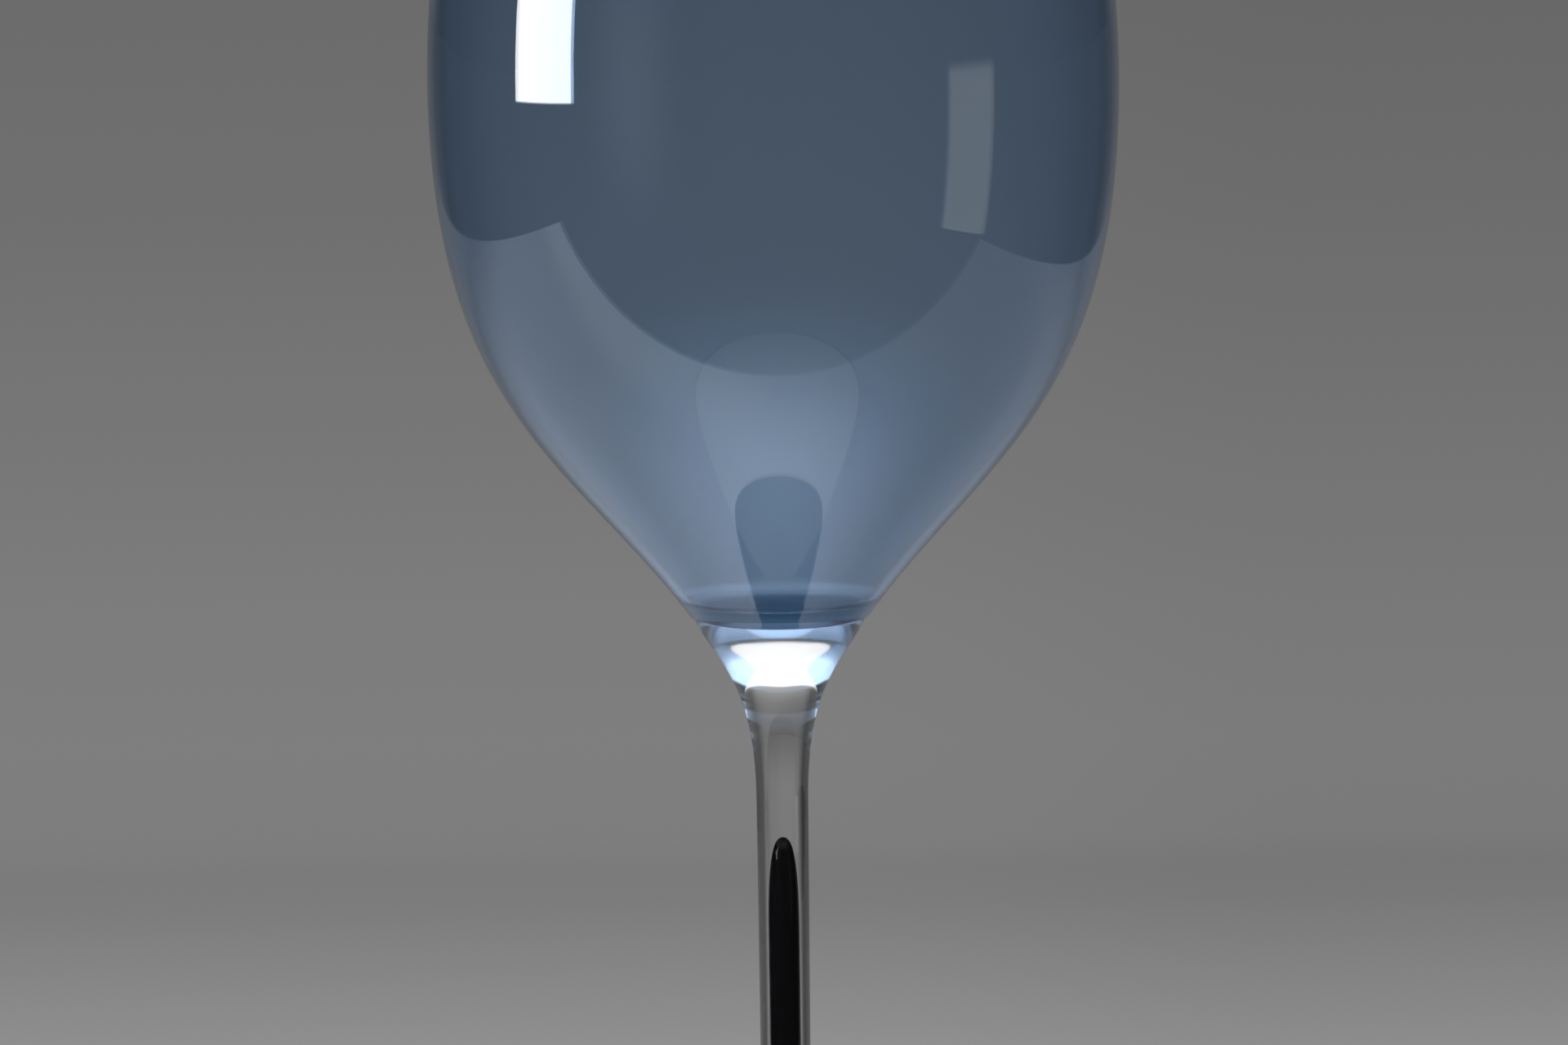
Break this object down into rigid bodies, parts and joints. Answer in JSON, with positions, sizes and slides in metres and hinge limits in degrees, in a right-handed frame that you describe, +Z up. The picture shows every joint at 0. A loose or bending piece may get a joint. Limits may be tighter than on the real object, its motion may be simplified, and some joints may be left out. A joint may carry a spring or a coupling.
{
  "type": "tulip vase",
  "caption": "Tall stemmed tulip vase: thin blown glass bowl, drawn in a little at the mouth, on a slender clear stem with a black thread inside, standing on a wide dark foot.",
  "frame": {"origin": "on the axis, at the table under the foot", "axes": "+Z up along the axis of the stem and bowl, towards the mouth; X and Y are any two level directions"},
  "size_m": [0.133, 0.133, 0.3834],
  "materials": {
    "blue_grey_glass": "thin blown clear glass with a blue-grey casing outside, fire-polished",
    "clear_glass": "clear drawn glass, fire-polished",
    "black_thread_glass": "opaque black glass thread cased in the clear stem",
    "black_foot_glass": "black glass, fire-polished on top, ground ring underneath"
  },
  "bodies": {
    "root": {"bowl": "blue_grey_glass", "stem": "clear_glass", "stem_thread": "black_thread_glass", "foot": "black_foot_glass"}
  },
  "joints": []
}
